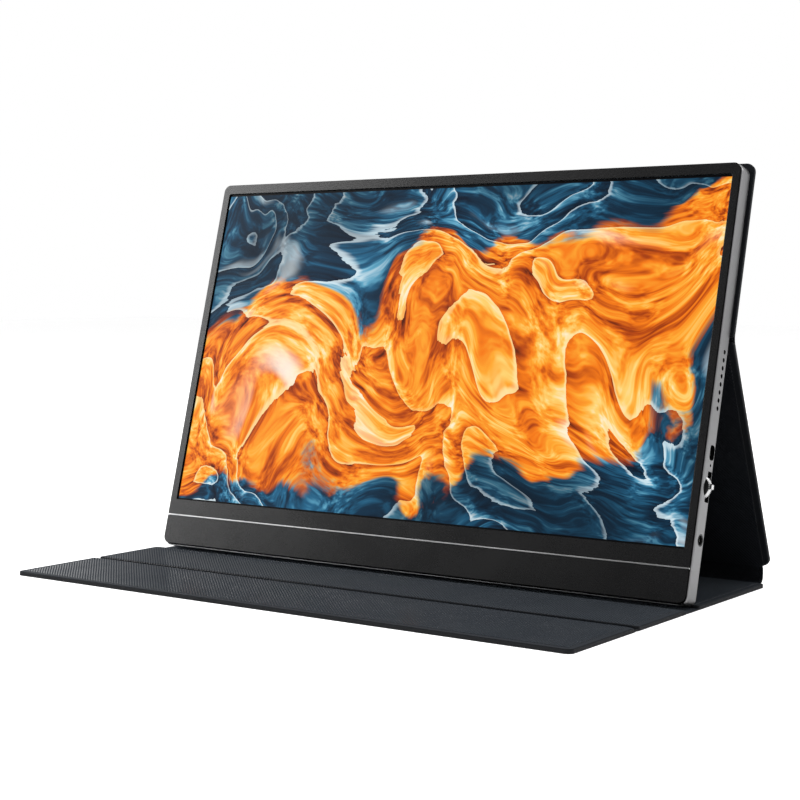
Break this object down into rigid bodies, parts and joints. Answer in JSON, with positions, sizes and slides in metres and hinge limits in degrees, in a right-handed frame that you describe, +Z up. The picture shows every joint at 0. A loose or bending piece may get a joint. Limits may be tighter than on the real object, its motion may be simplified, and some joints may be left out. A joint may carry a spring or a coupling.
{
  "type": "portable monitor with folding cover",
  "caption": "Slim portable monitor with side ports and a jog wheel, leaning back in a folding magnetic cover that makes its stand.",
  "frame": {"origin": "on the table, under the middle of the monitor's front bottom edge", "axes": "+X to the viewer's right along the screen, +Y away from the viewer, +Z up"},
  "size_m": [0.3575, 0.2173, 0.226],
  "materials": {
    "shell_aluminium": "fine blasted and anodised",
    "bezel_plastic": "satin black",
    "trim_metal": "polished edge",
    "screen_film": "anti-glare, with a lit abstract picture behind it",
    "panel_glass": "clear",
    "optical_film": "translucent white",
    "steel_sheet": "bare stamped",
    "circuit_board": "solder mask",
    "chip_plastic": "moulded",
    "cable_film": "polyimide",
    "foam": "closed cell",
    "socket_metal": "nickel plated",
    "socket_plastic": "moulded",
    "screw_steel": "zinc plated",
    "magnet_metal": "nickel plated",
    "light_pipe": "clear moulded",
    "knurled_metal": "knurled and polished",
    "outer_skin": "embossed synthetic leather",
    "inner_lining": "ribbed synthetic lining",
    "fibre_board": "pressed fibre board"
  },
  "bodies": {
    "base_panel": {"base_skin": "outer_skin", "base_board": "fibre_board", "base_lining": "inner_lining", "groove_skin": "outer_skin", "groove_lining": "inner_lining"},
    "mid_panel": {"mid_skin": "outer_skin", "mid_board": "fibre_board", "mid_lining": "inner_lining"},
    "front_flap": {"flap_skin": "outer_skin", "flap_board": "fibre_board", "flap_lining": "inner_lining"},
    "spine": {"spine_skin": "outer_skin", "spine_lining": "inner_lining"},
    "leg_panel": {"leg_skin": "outer_skin", "leg_board": "fibre_board", "leg_lining": "inner_lining"},
    "upper_panel": {"upper_skin": "outer_skin", "upper_board": "fibre_board", "upper_lining": "inner_lining", "cover_magnets": "magnet_metal"},
    "monitor": {"rear_shell": "shell_aluminium", "front_bezel": "bezel_plastic", "chin_plate": "bezel_plastic", "chin_trim_strip": "trim_metal", "screen_gasket": "foam", "antiglare_film": "screen_film", "lcd_cell": "panel_glass", "optical_sheets": "optical_film", "light_guide": "optical_film", "reflector_sheet": "optical_film", "led_strip": "circuit_board", "display_tray": "steel_sheet", "driver_films": "cable_film", "driver_board": "circuit_board", "display_cable": "cable_film", "main_board": "circuit_board", "scaler_chip": "chip_plastic", "board_chips": "chip_plastic", "left_board": "circuit_board", "left_chips": "chip_plastic", "board_screws": "screw_steel", "usb_c_right": "socket_metal", "usb_c_left": "socket_metal", "usb_tongues": "socket_plastic", "video_socket": "socket_metal", "audio_jack": "socket_plastic", "speaker_right": "socket_plastic", "speaker_left": "socket_plastic", "status_light_pipe": "light_pipe", "jog_switch": "chip_plastic", "power_switch": "chip_plastic", "shell_magnets": "magnet_metal"},
    "jog_plunger": {"jog_carrier": "socket_plastic"},
    "jog_wheel": {"jog_hub": "socket_plastic", "jog_rim": "knurled_metal"},
    "power_key": {"power_button": "shell_aluminium"}
  },
  "joints": [
    {"name": "leg_fold", "type": "hinge", "parent": "spine", "child": "leg_panel", "pos_m": [0, 0.10137, 0.00878], "axis": [-1, 0, 0], "range_deg": [0, 65.47]},
    {"name": "spine_fold", "type": "hinge", "parent": "base_panel", "child": "spine", "pos_m": [0, 0.0935, 0.0004], "axis": [-1, 0, 0], "range_deg": [0, 46.81]},
    {"name": "top_fold", "type": "hinge", "parent": "leg_panel", "child": "upper_panel", "pos_m": [0, 0.04995, 0.13431], "axis": [1, 0, 0], "range_deg": [0, 37.48]},
    {"name": "monitor_lift", "type": "slide", "parent": "upper_panel", "child": "monitor", "axis": [0, 0.2622, 0.965], "range_m": [0, 0.24]},
    {"name": "mid_fold", "type": "hinge", "parent": "base_panel", "child": "mid_panel", "pos_m": [0, -0.001, 0.0004], "axis": [-1, 0, 0], "range_deg": [0, 50]},
    {"name": "flap_fold", "type": "hinge", "parent": "mid_panel", "child": "front_flap", "pos_m": [0, -0.054, 0.0004], "axis": [-1, 0, 0], "range_deg": [0, 90]},
    {"name": "jog_press", "type": "slide", "parent": "monitor", "child": "jog_plunger", "axis": [-1, 0, 0], "range_m": [0, 0.0006], "stiffness_N_per_m": 1500, "springref_m": -0.0003},
    {"name": "jog_roll", "type": "hinge", "parent": "jog_plunger", "child": "jog_wheel", "pos_m": [0.1723, 0.0241, 0.06051], "axis": [0, 0.965, -0.2622], "range_deg": [-12, 12], "stiffness_Nm_per_rad": 0.02},
    {"name": "power_press", "type": "slide", "parent": "monitor", "child": "power_key", "axis": [1, 0, 0], "range_m": [0, 0.0005], "stiffness_N_per_m": 1500, "springref_m": -0.0003}
  ],
  "couplings": [
    {"joint": "spine_fold", "follows": "leg_fold", "ratio": 0.71478},
    {"joint": "top_fold", "follows": "leg_fold", "ratio": 0.57235}
  ]
}
